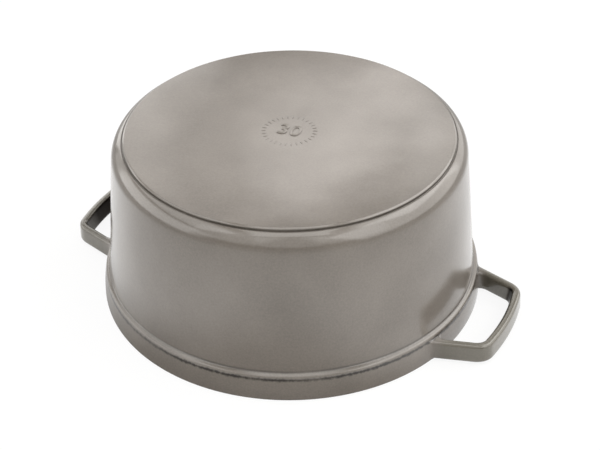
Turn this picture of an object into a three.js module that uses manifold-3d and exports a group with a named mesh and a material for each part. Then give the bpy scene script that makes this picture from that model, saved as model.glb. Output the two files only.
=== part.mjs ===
// A round enamelled cast iron roaster, put away upside down: the pot stands on its rim over its own lid.
// Millimetres, +Z up. The origin is the middle of the rim plane, and the loop handles lie along X.
// In this pose the pot's base is at the top, and the lid lies inside the rim with its knob up.
import * as THREE from 'three';
import { mergeVertices } from 'three/addons/utils/BufferGeometryUtils.js';
import Module from 'manifold-3d';

const wasm = await Module();
wasm.setup();

// Pot: the mouth is measured where the inner wall meets the lid seat.
const MOUTH_DIAMETER = 300;
const POT_HEIGHT = 142.4;
const WALL = 3.5;
const WALL_DRAFT = THREE.MathUtils.degToRad(5.7);
const BASE_THICKNESS = 4.5;
const CORNER_RADIUS = 16.5;
const INNER_CORNER_RADIUS = 14;
const CORNER_DROP = 0.5;
const FOOT_INSET = 8.6;
const FOOT_EDGE = 0.8;

// Rim band: a thickened ring round the mouth, with a sloping shoulder and a rebate for the lid.
const BAND_HEIGHT = 19.3;
const BAND_DRAFT = THREE.MathUtils.degToRad(7);
const BAND_STEP = 6.3;
const BAND_EDGE = 1;
const SHOULDER_RISE = 5.1;
const SHOULDER_FILLET = 2.5;
const LIP = 4.8;
const LIP_EDGE = 2;
const LIP_INNER_EDGE = 1;
const SEAT_DEPTH = 9;
const SEAT_EDGE = 1;

// Loop handles: a drafted strap that leaves the band, bows round the finger gap and comes back.
const HANDLE_REACH = 36.6;
const HANDLE_SPAN = 99.6;
const ARM_TOE_IN = THREE.MathUtils.degToRad(16.5);
const HANDLE_CORNER = 12;
const STRAP_START = 1.8;
const STRAP_HEIGHT = 16.8;
const STRAP_EDGE = 2;
const STRAP_EDGE_STEPS = 3;
const ARM_THICKNESS = 7.6;
const ARM_DRAFT = 0.4;
const BOW_THICKNESS = 10.4;
const BOW_INNER_DRAFT = 3;
const BOW_OUTER_DRAFT = 1.2;
const ROOT_INNER_FILLET = 7;
const ROOT_OUTER_FILLET = 3;
const ROOT_EDGE_FILLET = 1.5;

// Lid: a domed disc that drops into the rebate, with a flange, a knob boss and drip studs underneath.
const LID_CLEARANCE = 0.6;
const LID_BELOW_RIM = 1;
const LID_PLATE = 4.5;
const LID_DOME = 5;
const LID_EDGE = 2;
const FLANGE_WIDTH = 9;
const BOSS_RADIUS = 17;
const BOSS_RISE = 1.5;
const BOSS_EDGE = 1;
const STUD_RADIUS = 3.2;
const STUD_TIP = 1.4;
const STUD_LENGTH = 3.2;
const STUD_ROOT = 1;
const STUD_MARGIN = 20;
const STUD_RINGS = 3;
const STUDS_PER_RING = 8;

// Knob and its fastening.
const KNOB_HEIGHT = 30;
const KNOB_RADIUS = 20;
const KNOB_NECK = 8;
const KNOB_FOOT = 11;
const KNOB_CAP = 11;
const KNOB_CROWN = 2;
const KNOB_EDGE = 3;
const BORE_DEPTH = 16;
const SCREW_RADIUS = 3;
const SCREW_END_GAP = 2;
const HEAD_RADIUS = 6.5;
const HEAD_HEIGHT = 3.6;
const HEAD_EDGE = 1.2;
const WASHER_RADIUS = 7.2;
const WASHER_THICKNESS = 1.4;
const SEAT_GAP = 0.3;

// Facets: around the axis, and the turn of one facet of a fillet.
const POT_SEGMENTS = 80;
const LID_SEGMENTS = 60;
const KNOB_SEGMENTS = 24;
const SCREW_SEGMENTS = 20;
const STUD_SEGMENTS = 6;
const FILLET_TURN = THREE.MathUtils.degToRad(31);
const DOME_STEPS = 4;
const ROOT_STEPS = 8;
const CORNER_STEPS = 4;
const BOW_STEPS = 5;
const MERGE_TOLERANCE = 1e-4;

// Sizes that follow from those above.
const mouthRadius = MOUTH_DIAMETER / 2;
const draftSlope = Math.tan(WALL_DRAFT);
const innerWallRadius = (z) => mouthRadius - (z - SEAT_DEPTH) * draftSlope;
const outerWallRadius = (z) => innerWallRadius(z) + WALL;
const shoulderTop = BAND_HEIGHT + SHOULDER_RISE;
const rimRadius = outerWallRadius(shoulderTop) + BAND_STEP;
const bandRadius = (z) => rimRadius - z * Math.tan(BAND_DRAFT);
const seatRadius = rimRadius - LIP;
const footRadius = outerWallRadius(POT_HEIGHT) - FOOT_INSET;
const innerBase = POT_HEIGHT - BASE_THICKNESS;
const bowRadius = rimRadius + HANDLE_REACH - BOW_THICKNESS / 2;
const strapEnd = STRAP_START + STRAP_HEIGHT;
const lidRadius = seatRadius - LID_CLEARANCE;
const lidEdgeHeight = SEAT_DEPTH - LID_BELOW_RIM;
const plateRadius = lidRadius - FLANGE_WIDTH;
const domeTop = lidEdgeHeight + LID_DOME;
const lidTop = (r) => domeTop - LID_DOME * (r / lidRadius) ** 2;
const lidUnderside = (r) => lidTop(r) - LID_PLATE;
const bossTop = lidTop(BOSS_RADIUS) + BOSS_RISE;
const boreRadius = SCREW_RADIUS + SEAT_GAP;
const washerTop = lidUnderside(WASHER_RADIUS) - SEAT_GAP;
const headTop = washerTop - WASHER_THICKNESS - SEAT_GAP;
const knobStart = bossTop + SEAT_GAP;

const enamel = new THREE.MeshStandardMaterial({ color: 0x8f897f, roughness: 0.3, metalness: 0 });
const nickel = new THREE.MeshStandardMaterial({ color: 0xc9c5bd, roughness: 0.22, metalness: 1 });
const steel = new THREE.MeshStandardMaterial({ color: 0x9c9c9a, roughness: 0.4, metalness: 1 });

// A point of an outline, with the radius of the fillet that rounds it.
const corner = (x, y, fillet = 0) => ({ at: new THREE.Vector2(x, y), fillet });

// The outline through the corners, each one replaced by an arc that touches both its sides.
function rounded(corners, { closed = false, steps } = {}) {
  const points = [];
  corners.forEach(({ at, fillet }, i) => {
    const last = corners.length - 1;
    const isEnd = !closed && (i === 0 || i === last);
    if (isEnd || fillet === 0) {
      points.push(at.clone());
      return;
    }
    const before = corners[i === 0 ? last : i - 1].at;
    const after = corners[i === last ? 0 : i + 1].at;
    const back = before.clone().sub(at).normalize();
    const ahead = after.clone().sub(at).normalize();
    const halfAngle = Math.acos(THREE.MathUtils.clamp(back.dot(ahead), -1, 1)) / 2;
    const middle = back.clone().add(ahead).normalize();
    const centre = at.clone().addScaledVector(middle, fillet / Math.sin(halfAngle));
    const start = at.clone().addScaledVector(back, fillet / Math.tan(halfAngle)).sub(centre);
    const turn = Math.PI - 2 * halfAngle;
    const sign = Math.sign(ahead.cross(back));
    const count = steps ?? Math.max(2, Math.ceil(turn / FILLET_TURN));
    for (let step = 0; step <= count; step++) {
      const swung = start.clone().rotateAround(new THREE.Vector2(), (sign * turn * step) / count);
      points.push(swung.add(centre));
    }
  });
  return points;
}

// A closed surface as a solid that can be joined and cut.
function solidFrom(geometry) {
  geometry.deleteAttribute('normal');
  geometry.deleteAttribute('uv');
  const merged = mergeVertices(geometry, MERGE_TOLERANCE);
  const vertProperties = merged.attributes.position.array;
  const triVerts = new Uint32Array(merged.index.array);
  return new wasm.Manifold(new wasm.Mesh({ numProp: 3, vertProperties, triVerts }));
}

// An outline of (radius, height) points turned round the Z axis.
const turned = (outline, segments) => solidFrom(new THREE.LatheGeometry(outline, segments).rotateX(Math.PI / 2));

// A closed outline is turned as a ring: it ends where it began.
const turnedRing = (outline, segments) => turned([...outline, outline[0]], segments);

// Rings of equally many points, skinned one to the next, with a flat cap at either end.
function lofted(rings) {
  const count = rings[0].length;
  const index = [];
  for (let i = 0; i + 1 < rings.length; i++) {
    for (let j = 0; j < count; j++) {
      const a = i * count + j;
      const b = i * count + ((j + 1) % count);
      index.push(a, b, a + count, b, b + count, a + count);
    }
  }
  const lastRing = (rings.length - 1) * count;
  for (let j = 1; j + 1 < count; j++) {
    index.push(0, j + 1, j);
    index.push(lastRing, lastRing + j, lastRing + j + 1);
  }
  const geometry = new THREE.BufferGeometry().setFromPoints(rings.flat());
  geometry.setIndex(index);
  return solidFrom(geometry);
}

function namedMesh(name, solid, material) {
  const { numProp, vertProperties, triVerts } = solid.getMesh();
  const geometry = new THREE.BufferGeometry();
  geometry.setAttribute('position', new THREE.BufferAttribute(vertProperties, numProp));
  geometry.setIndex(new THREE.BufferAttribute(triVerts, 1));
  geometry.computeVertexNormals();
  const mesh = new THREE.Mesh(geometry, material);
  mesh.name = name;
  return mesh;
}

// The rounded corner between wall and base, from the wall up to the edge of the raised foot.
function baseCorner() {
  const centreHeight = POT_HEIGHT - CORNER_DROP - CORNER_RADIUS;
  const centreRadius = outerWallRadius(centreHeight) - CORNER_RADIUS / Math.cos(WALL_DRAFT);
  const reach = THREE.MathUtils.clamp((footRadius - centreRadius) / CORNER_RADIUS, 0, 1);
  const arc = new THREE.Path().absarc(
    centreRadius, centreHeight, CORNER_RADIUS, WALL_DRAFT, Math.acos(reach), false,
  );
  const steps = Math.ceil((Math.acos(reach) - WALL_DRAFT) / (FILLET_TURN / 2));
  return arc.getSpacedPoints(steps);
}

// The bowl as one outline: inside of the base, inner wall, lid seat, rim, band, shoulder, wall and foot.
function bowl() {
  const outline = rounded([
    corner(0, innerBase),
    corner(innerWallRadius(innerBase), innerBase, INNER_CORNER_RADIUS),
    corner(mouthRadius, SEAT_DEPTH, SEAT_EDGE),
    corner(seatRadius, SEAT_DEPTH),
    corner(seatRadius, 0, LIP_INNER_EDGE),
    corner(rimRadius, 0, LIP_EDGE),
    corner(bandRadius(BAND_HEIGHT), BAND_HEIGHT, BAND_EDGE),
    corner(outerWallRadius(shoulderTop), shoulderTop, SHOULDER_FILLET),
    ...baseCorner().map(({ x, y }) => corner(x, y)),
    corner(footRadius, POT_HEIGHT, FOOT_EDGE),
    corner(0, POT_HEIGHT),
  ]);
  return turned(outline, POT_SEGMENTS);
}

// The middle line of a handle's strap, seen from above: arm, corner, bow, corner, arm.
function strapPath() {
  const along = new THREE.Vector2(Math.cos(ARM_TOE_IN), -Math.sin(ARM_TOE_IN));
  const inward = new THREE.Vector2(-Math.sin(ARM_TOE_IN), -Math.cos(ARM_TOE_IN));
  const halfSpan = HANDLE_SPAN / 2;
  const root = new THREE.Vector2(Math.sqrt(rimRadius ** 2 - halfSpan ** 2), halfSpan);
  const start = root.clone().addScaledVector(along, -(ARM_THICKNESS / 2 + ROOT_OUTER_FILLET + LIP / 2));
  const armFoot = root.clone().addScaledVector(along, ROOT_INNER_FILLET + ARM_THICKNESS / 2);

  const offset = root.clone().addScaledVector(inward, HANDLE_CORNER);
  const toward = offset.dot(along);
  const turnRadius = bowRadius - HANDLE_CORNER;
  const run = Math.sqrt(toward ** 2 + turnRadius ** 2 - offset.lengthSq()) - toward;
  const centre = offset.addScaledVector(along, run);
  const armEnd = centre.clone().addScaledVector(inward, -HANDLE_CORNER);
  const armAngle = Math.PI / 2 - ARM_TOE_IN;
  const bowAngle = centre.angle();

  const mirrored = ({ x, y }) => new THREE.Vector2(x, -y);
  return [
    { curve: new THREE.LineCurve(start, armFoot), steps: ROOT_STEPS, bow: [0, 0] },
    { curve: new THREE.LineCurve(armFoot, armEnd), steps: 1, bow: [0, 0] },
    {
      curve: new THREE.ArcCurve(centre.x, centre.y, HANDLE_CORNER, armAngle, bowAngle, true),
      steps: CORNER_STEPS,
      bow: [0, 1],
    },
    { curve: new THREE.ArcCurve(0, 0, bowRadius, bowAngle, -bowAngle, true), steps: BOW_STEPS, bow: [1, 1] },
    {
      curve: new THREE.ArcCurve(centre.x, -centre.y, HANDLE_CORNER, -bowAngle, -armAngle, true),
      steps: CORNER_STEPS,
      bow: [1, 0],
    },
    { curve: new THREE.LineCurve(mirrored(armEnd), mirrored(armFoot)), steps: 1, bow: [0, 0] },
    { curve: new THREE.LineCurve(mirrored(armFoot), mirrored(start)), steps: ROOT_STEPS, bow: [0, 0] },
  ];
}

// How much a fillet of this radius widens the strap at a distance from the band.
function flare(distance, radius) {
  const inFillet = THREE.MathUtils.clamp(radius - distance, 0, radius);
  return radius - Math.sqrt(radius ** 2 - inFillet ** 2);
}

// The strap's section as (outward, height) points. The bow is thicker than the arms and has more draft.
function strapSection(bow) {
  const half = THREE.MathUtils.lerp(ARM_THICKNESS, BOW_THICKNESS, bow) / 2;
  const inner = -half + THREE.MathUtils.lerp(ARM_DRAFT, BOW_INNER_DRAFT, bow);
  const outer = half - THREE.MathUtils.lerp(ARM_DRAFT, BOW_OUTER_DRAFT, bow);
  return rounded([
    corner(-half, STRAP_START, STRAP_EDGE),
    corner(half, STRAP_START, STRAP_EDGE),
    corner(outer, strapEnd, STRAP_EDGE),
    corner(inner, strapEnd, STRAP_EDGE),
  ], { closed: true, steps: STRAP_EDGE_STEPS });
}

// One ring of the strap, square to its path and flared where it runs into the band.
function strapRing(place, heading, bow) {
  const outward = new THREE.Vector2(-heading.y, heading.x);
  const middle = STRAP_START + STRAP_HEIGHT / 2;
  return strapSection(bow).map(({ x, y }) => {
    const distance = place.clone().addScaledVector(outward, x).length() - bandRadius(y);
    const fillet = x > 0 ? ROOT_OUTER_FILLET : ROOT_INNER_FILLET;
    const side = x + Math.sign(x) * flare(distance, fillet);
    const height = y + Math.sign(y - middle) * flare(distance, ROOT_EDGE_FILLET);
    const plan = place.clone().addScaledVector(outward, side);
    return new THREE.Vector3(plan.x, plan.y, height);
  });
}

// A loop handle at +X, its roots trimmed to end inside the rim's lip.
function handle() {
  const rings = strapPath().flatMap(({ curve, steps, bow: [from, to] }, stretch) => {
    const stations = [];
    for (let step = stretch === 0 ? 0 : 1; step <= steps; step++) {
      const t = step / steps;
      const bow = THREE.MathUtils.smoothstep(THREE.MathUtils.lerp(from, to, t), 0, 1);
      stations.push(strapRing(curve.getPoint(t), curve.getTangent(t), bow));
    }
    return stations;
  });
  const core = turned([
    new THREE.Vector2(0, -BAND_HEIGHT),
    new THREE.Vector2(rimRadius - LIP / 2, -BAND_HEIGHT),
    new THREE.Vector2(rimRadius - LIP / 2, 2 * BAND_HEIGHT),
    new THREE.Vector2(0, 2 * BAND_HEIGHT),
  ], POT_SEGMENTS);
  return lofted(rings).subtract(core);
}

function pot() {
  const right = handle();
  const left = right.rotate([0, 0, 180]);
  return namedMesh('pot', bowl().add(right).add(left), enamel);
}

// Drip studs in rings under the lid, each ring with as many more studs as it is wider.
function dripStuds() {
  const studs = [];
  for (let ring = 1; ring <= STUD_RINGS; ring++) {
    const ringRadius = ((plateRadius - STUD_MARGIN) * ring) / STUD_RINGS;
    const count = STUDS_PER_RING * ring;
    const root = lidUnderside(ringRadius);
    const stud = turned([
      new THREE.Vector2(0, root - STUD_LENGTH),
      new THREE.Vector2(STUD_TIP, root - STUD_LENGTH),
      new THREE.Vector2(STUD_RADIUS, root + STUD_ROOT),
      new THREE.Vector2(0, root + STUD_ROOT),
    ], STUD_SEGMENTS);
    for (let i = 0; i < count; i++) {
      studs.push(stud.translate([ringRadius, 0, 0]).rotate([0, 0, (360 * i) / count]));
    }
  }
  return studs;
}

function lid() {
  const domePoints = (height, from, to) => Array.from({ length: DOME_STEPS }, (_, i) => {
    const r = THREE.MathUtils.lerp(from, to, i / (DOME_STEPS - 1));
    return corner(r, height(r));
  });
  const outline = rounded([
    corner(boreRadius, lidUnderside(WASHER_RADIUS)),
    corner(WASHER_RADIUS, lidUnderside(WASHER_RADIUS)),
    ...domePoints(lidUnderside, BOSS_RADIUS, plateRadius),
    corner(plateRadius, 0),
    corner(lidRadius, 0, BOSS_EDGE),
    corner(lidRadius, lidTop(lidRadius), LID_EDGE),
    ...domePoints(lidTop, plateRadius, BOSS_RADIUS + BOSS_RISE),
    corner(BOSS_RADIUS, bossTop, BOSS_EDGE),
    corner(boreRadius, bossTop),
  ], { closed: true });
  const plate = turnedRing(outline, LID_SEGMENTS);
  return namedMesh('lid', dripStuds().reduce((joined, stud) => joined.add(stud), plate), enamel);
}

function lidKnob() {
  const top = knobStart + KNOB_HEIGHT;
  const capStart = top - KNOB_CAP;
  const outline = rounded([
    corner(0, knobStart + BORE_DEPTH),
    corner(boreRadius, knobStart + BORE_DEPTH),
    corner(boreRadius, knobStart),
    corner(KNOB_FOOT, knobStart, BOSS_EDGE),
    corner(KNOB_NECK, knobStart + KNOB_FOOT - KNOB_NECK, KNOB_EDGE),
    corner(KNOB_NECK, capStart, KNOB_EDGE),
    corner(KNOB_RADIUS, capStart + KNOB_CROWN, KNOB_EDGE),
    corner(KNOB_RADIUS, top - KNOB_CROWN, KNOB_EDGE),
    corner(0, top),
  ]);
  return namedMesh('lid_knob', turned(outline, KNOB_SEGMENTS), nickel);
}

function knobScrew() {
  const end = knobStart + BORE_DEPTH - SCREW_END_GAP;
  const outline = rounded([
    corner(0, headTop - HEAD_HEIGHT),
    corner(HEAD_RADIUS, headTop - HEAD_HEIGHT, HEAD_EDGE),
    corner(HEAD_RADIUS, headTop),
    corner(SCREW_RADIUS, headTop),
    corner(SCREW_RADIUS, end),
    corner(0, end),
  ]);
  return namedMesh('knob_screw', turned(outline, SCREW_SEGMENTS), steel);
}

function knobWasher() {
  const bottom = washerTop - WASHER_THICKNESS;
  const outline = [
    new THREE.Vector2(boreRadius, bottom),
    new THREE.Vector2(WASHER_RADIUS, bottom),
    new THREE.Vector2(WASHER_RADIUS, washerTop),
    new THREE.Vector2(boreRadius, washerTop),
  ];
  return namedMesh('knob_washer', turnedRing(outline, SCREW_SEGMENTS), steel);
}

const lidSet = new THREE.Group().add(lid(), lidKnob(), knobScrew(), knobWasher());
const roaster = new THREE.Group().add(pot(), lidSet);

export default roaster;
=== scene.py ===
"""A round enamelled cast iron roaster, put away upside down over its own lid.

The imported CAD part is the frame. One operator builds each fine piece round it, in metres and in the
frame's axes, and one sets the studio: floor, lamps and camera.
"""

import math

import bmesh
import bpy
from mathutils import Matrix, Vector, noise


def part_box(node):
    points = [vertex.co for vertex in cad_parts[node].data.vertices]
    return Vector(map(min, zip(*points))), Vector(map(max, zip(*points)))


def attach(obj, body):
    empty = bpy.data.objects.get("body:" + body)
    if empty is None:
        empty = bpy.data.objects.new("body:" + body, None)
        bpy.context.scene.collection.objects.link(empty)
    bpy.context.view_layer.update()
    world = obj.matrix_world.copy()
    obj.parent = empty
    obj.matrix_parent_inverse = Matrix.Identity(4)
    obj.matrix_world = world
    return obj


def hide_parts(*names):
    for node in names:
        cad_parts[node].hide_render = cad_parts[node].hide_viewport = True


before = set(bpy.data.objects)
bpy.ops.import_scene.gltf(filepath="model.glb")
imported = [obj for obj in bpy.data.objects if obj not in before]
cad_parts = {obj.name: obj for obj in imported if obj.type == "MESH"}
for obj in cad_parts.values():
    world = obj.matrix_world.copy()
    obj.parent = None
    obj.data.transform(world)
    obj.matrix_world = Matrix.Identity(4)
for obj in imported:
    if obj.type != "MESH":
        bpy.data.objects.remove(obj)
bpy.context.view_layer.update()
POT_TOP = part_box("pot")[1].z
KNOB_LOW, KNOB_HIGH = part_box("lid_knob")
SCREW_LOW, SCREW_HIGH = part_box("knob_screw")
WASHER_LOW, WASHER_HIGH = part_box("knob_washer")
UP = Vector((0, 0, 1))

bl_info = {
    "name": "Cast iron roaster",
    "version": (1, 0, 0),
    "blender": (4, 5, 0),
    "location": "3D View > Sidebar > Roaster",
    "description": "Builds the fine pieces of an enamelled cast iron roaster round its CAD frame",
    "category": "Object",
}

# Facets of the meshes.
POT_SEGMENTS = 288
LID_SEGMENTS = 240
KNOB_SEGMENTS = 128
SCREW_SEGMENTS = 64
FLOOR_SEGMENTS = 64
FILLET_TURN = math.radians(11)
CRISP_EDGE = math.radians(35)
LONGEST_FACET = 0.0045
KNOB_FACET = 0.0015
MERGE_DISTANCE = 0.000004
DISC_STEPS = 26
LID_STEPS = 24
ROOT_STEPS = 64
ARM_STEPS = 8
BEND_STEPS = 16
BOW_STEPS = 14
EDGE_STEPS = 6
SIDE_STEPS = 6

# Where the base disc's hollow starts, as a share of its radius, and shares of the crease's width.
DISC_START = 0.985
SEAM_SLOPE = 0.3
SEAM_ROUND = 0.2

# Slow waves of the casting, whose top lies in the solid's surface, and the height over which they set in.
WAVE_SCALE = 34
FINE_WAVE_SCALE = 71
FINE_WAVE_SHARE = 0.5
FINE_WAVE_SHIFT = Vector((3, 1, 2))
WAVE_TOP = 1.3
WAVE_FADE = 0.012

# Cosines of a face to its loop's middle where the painted shade inside the loop starts, and where it is
# full.
LOOP_FACING = (0.32, 0.72)

# How much further than the arms a face turns to the pot until its painted shade is deepest.
BOW_TURN = 0.25

# Height of a stroke's bead on the base and depth of its middle, as shares of the mark's relief.
STROKE_HEIGHT = 2.6
STROKE_SINK = 0.6

# Edges of knob, screw and washer, the crown of the screw's head and the blade that cuts its slot.
HAIR_EDGE = 0.0002
FINE_EDGE = 0.0003
BROKEN_EDGE = 0.0004
SHANK_EDGE = 0.0006
HEAD_EDGE = 0.0008
CROWN_SHARE = 0.55
CROWN_DROP = 0.0002
CROWN_ROUND = 0.004
CROWN_DEPTH = 0.0014
BLADE_CLEAR = 0.001
BLADE_REACH = 0.02

# Noises of the finishes in waves per metre, the middle of their values and the grain's share of the bump.
GRAIN_SCALE = 700
RIPPLE_SCALE = 240
CLOUD_SCALE = 16
SPECK_SCALE = 330
STRETCH_SCALE = 22
LATHE_SCALE = 2600
SMEAR_SCALE = 110
NOISE_MIDDLE = 0.5
GRAIN_RELIEF = 0.35

# Rings of thin enamel on the band's edge and in the seam round the base disc, and a ring of painted shade in
# the crease where the shoulder meets the wall: shift outward and upward from the edge, width, break-up and
# strength.
WEAR_AND_SHADE_RINGS = {
    # The ledge ring is painted shade in the concave crease between shoulder and wall.
    "ledge": (0.0003, 0.0007, 0.0016, 0.3, 0.7),
    "band": (0, -0.0004, 0.0018, 1.5, 1.3),
    "crease": (0, -0.0021, 0.0012, 0.4, 1.2),
}

# Soft boxes: watts, degrees round from the camera's side, degrees up, width and height, degrees of tilt.
SOFT_BOXES = {
    "left_low": (7.8, 270, 16, (2.0, 0.9), 0),
    "left_wide": (6.8, 268, 16, (3.0, 0.9), 0),
    "right_low": (28.5, 80, 30, (3.0, 1.7), 0),
    "back_left": (5.6, 205, 16, (1.0, 0.9), 0),
    "back_right": (4.3, 140, 16, (1.2, 0.9), 0),
    "left_high": (8.2, 265, 52, (1.9, 0.8), 0),
    "right_high": (9, 105, 52, (1.4, 1.1), 0),
    "front_left": (4.0, 322, 38, (1.1, 1.4), 0),
    "front_right": (3.6, 38, 38, (1.1, 1.4), 0),
    "front": (3.1, 0, 33, (1.0, 1.3), 0),
    "front_top": (6.0, 0, 76, (0.9, 0.9), 0),
    "back_top": (2.6, 180, 64, (1.6, 0.8), 0),
    "strap_left": (0.2, 199, 34, (0.4, 0.3), 0),
    "strap_right": (0.46, 160.5, 37.2, (0.45, 0.34), 0),
    "base_light": (0.32, 176.0, 34.2, (0.36, 0.15), 28),
    "base_halo": (0.92, 175.2, 33.1, (0.95, 0.31), 22),
}

# Floor and camera.
FLOOR_RADIUS = 6
FLOOR_DROP = 0.0002
SENSOR_WIDTH = 36

# Sockets of node groups by label or by the type of their default, and colour sockets of the Mix node.
SOCKET_KINDS = {
    "Geometry": "NodeSocketGeometry",
    "Material": "NodeSocketMaterial",
    "Colour": "NodeSocketColor",
    int: "NodeSocketInt",
    float: "NodeSocketFloat",
    tuple: "NodeSocketVector",
}
FIRST_COLOUR = 6
SECOND_COLOUR = 7
MIXED_COLOUR = 2


# Properties that a user would change: sizes, angles in degrees, factors from 0 to 1, colours and counts.
def setting(kind, **traits):
    """A function that makes properties of one kind from a name, a description and a default."""
    return lambda name, description, default: kind(
        name=name, description=description, default=default, **traits
    )


length = setting(bpy.props.FloatProperty, precision=5, unit="LENGTH", subtype="DISTANCE")
angle = setting(bpy.props.FloatProperty, unit="ROTATION", subtype="ANGLE")
share = setting(bpy.props.FloatProperty, min=0, max=1, subtype="FACTOR")
tint = setting(bpy.props.FloatVectorProperty, size=3, min=0, max=1, subtype="COLOR")
tally = setting(bpy.props.IntProperty, min=1)


def turn(name, description, degrees):
    """An angle given in degrees."""
    return angle(name, description, math.radians(degrees))


class RoasterPot(bpy.types.PropertyGroup):
    """Sizes of the bowl, its base, band and rim."""

    mouth: length("Mouth", "Diameter where the inner wall meets the lid seat", 0.300)
    height: length("Height", "From the rim plane to the base", POT_TOP)
    wall: length("Wall", "Thickness of the wall", 0.0035)
    draft: turn("Draft", "Slope of the wall", 5.7)
    base: length("Base", "Thickness of the base", 0.0045)
    corner: length("Corner", "Radius between wall and base", 0.0165)
    inner_corner: length("Inner corner", "Radius between inner wall and base", 0.014)
    corner_drop: length("Corner drop", "How far the corner's crown lies below the base disc", 0.0005)
    foot_inset: length("Foot inset", "From the wall line to the edge of the base disc", 0.0086)
    foot_bevel: length("Foot bevel", "Width of the bevel round the base disc", 0.0014)
    foot_drop: length("Foot drop", "Height of the bevel round the base disc", 0.0010)
    foot_edge: length("Foot edge", "Radius on both edges of the bevel", 0.0006)
    seam: length("Seam", "Width of the crease round the base disc", 0.0009)
    seam_depth: length("Seam depth", "Depth of the crease below the corner", 0.0012)
    seam_edge: length("Seam edge", "Radius where the corner turns down into the crease", 0.0008)
    dish: length("Dish", "How far the middle of the base is hollowed", 0.0010)
    unevenness: length("Unevenness", "Height of the slow waves of the casting", 0.00005)
    band_height: length("Band height", "From the rim plane to the band's edge", 0.0193)
    band_draft: turn("Band draft", "Slope of the band", 7)
    band_step: length("Band step", "How far the rim stands out from the wall", 0.0063)
    band_swell: length("Band swell", "How far the middle of the band swells out", 0.0005)
    band_round: length("Band round", "Radius over the swell of the band", 0.06)
    band_edge: length("Band edge", "Radius on the band's upper edge", 0.0006)
    shoulder_rise: length("Shoulder rise", "Height of the slope above the band", 0.0051)
    crown_inset: length("Crown inset", "From the band's edge in to the crown of the shoulder", 0.0007)
    crown_height: length("Crown height", "From the rim plane to the crown of the shoulder", 0.0220)
    crown_round: length("Crown round", "Radius over the crown of the shoulder", 0.0022)
    ledge_height: length("Ledge height", "From the rim plane to where the shoulder meets the wall", 0.0229)
    shoulder_fillet: length("Shoulder fillet", "Radius between shoulder and wall", 0.0018)
    lip: length("Lip", "Width of the rim face", 0.0048)
    lip_edge: length("Lip edge", "Radius outside the rim face", 0.0014)
    lip_draw: length("Lip draw", "How far the rim's outer edge is drawn in under the swell", 0.00021)
    lip_inner_edge: length("Lip inner edge", "Radius inside the rim face", 0.001)
    seat_depth: length("Seat depth", "From the rim plane to the lid seat", 0.009)
    seat_edge: length("Seat edge", "Radius where the seat meets the wall", 0.001)

    @property
    def mouth_radius(self):
        return self.mouth / 2

    def inner_radius(self, height):
        return self.mouth_radius - (height - self.seat_depth) * math.tan(self.draft)

    def outer_radius(self, height):
        return self.inner_radius(height) + self.wall

    @property
    def shoulder_top(self):
        return self.band_height + self.shoulder_rise

    @property
    def rim_radius(self):
        return self.outer_radius(self.shoulder_top) + self.band_step

    def band_radius(self, height):
        return self.rim_radius - height * math.tan(self.band_draft)

    @property
    def seat_radius(self):
        return self.rim_radius - self.lip

    @property
    def foot_radius(self):
        return self.outer_radius(self.height) - self.foot_inset

    def base_height(self, radius):
        """Height of the base disc, hollowed in the middle and level at its edge."""
        share_out = min(radius / self.foot_radius, 1)
        return self.height - self.dish * (1 - share_out**2) ** 2


class RoasterHandle(bpy.types.PropertyGroup):
    """Sizes of the loop handles."""

    reach: length("Reach", "From the rim to the outside of the bow", 0.0364)
    span: length("Span", "Between the middles of a handle's two roots", 0.0996)
    toe_in: turn("Toe-in", "Turn of the arms towards each other", 16.5)
    corner: length("Corner", "Radius of the strap's bends", 0.012)
    start: length("Start", "From the rim plane to the strap", 0.0018)
    height: length("Height", "Height of the strap", 0.0168)
    edge: length("Edge", "Radius along the strap's edges", 0.0029)
    arm: length("Arm", "Thickness of the arms", 0.0076)
    arm_draft: length("Arm draft", "How much each side of an arm leans in", 0.0004)
    bow: length("Bow", "Thickness of the bow", 0.0104)
    bow_inner_draft: length("Bow inner draft", "How much the bow's inside leans in", 0.003)
    bow_outer_draft: length("Bow outer draft", "How much the bow's outside leans in", 0.0012)
    inner_fillet: length("Inner fillet", "Radius at the roots, inside the loop", 0.007)
    outer_fillet: length("Outer fillet", "Radius at the roots, outside the loop", 0.006)
    edge_fillet: length("Edge fillet", "How far the roots swell above and below the strap", 0.0006)
    # How deep the painted shade inside the loops is on the arms, beside the bow's.
    arm_shade: share("Arm thinning", "Thinness of the enamel inside the arms, beside the bow's", 0.1)


class RoasterLid(bpy.types.PropertyGroup):
    """Sizes of the lid and its drip studs."""

    clearance: length("Clearance", "Between the lid's edge and the lid seat", 0.0006)
    below_rim: length("Below rim", "How far the lid's edge lies below the rim", 0.001)
    plate: length("Plate", "Thickness of the domed plate", 0.0045)
    dome: length("Dome", "Rise of the plate to its middle", 0.005)
    edge: length("Edge", "Radius on the lid's upper edge", 0.002)
    flange: length("Flange", "Width of the ring that rests on the seat", 0.009)
    boss: length("Boss", "Radius of the pad under the knob", 0.017)
    boss_rise: length("Boss rise", "Height of the pad under the knob", 0.0015)
    boss_edge: length("Boss edge", "Radius on the pad and on the flange", 0.001)
    bore: length("Bore", "Radius of the hole for the screw", 0.0033)
    pad: length("Pad", "Radius of the flat round the hole underneath", 0.0072)
    stud: length("Stud", "Radius of a drip stud at its root", 0.0032)
    stud_tip: length("Stud tip", "Radius of a drip stud at its tip", 0.0014)
    stud_length: length("Stud length", "How far a drip stud hangs down", 0.0032)
    stud_root: length("Stud root", "How far a drip stud is sunk into the plate", 0.001)
    stud_margin: length("Stud margin", "From the flange to the outer ring of studs", 0.020)
    stud_rings: tally("Stud rings", "Rings of drip studs", 3)
    studs: tally("Studs", "Drip studs in the inner ring, and how many more in each next one", 8)


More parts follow.
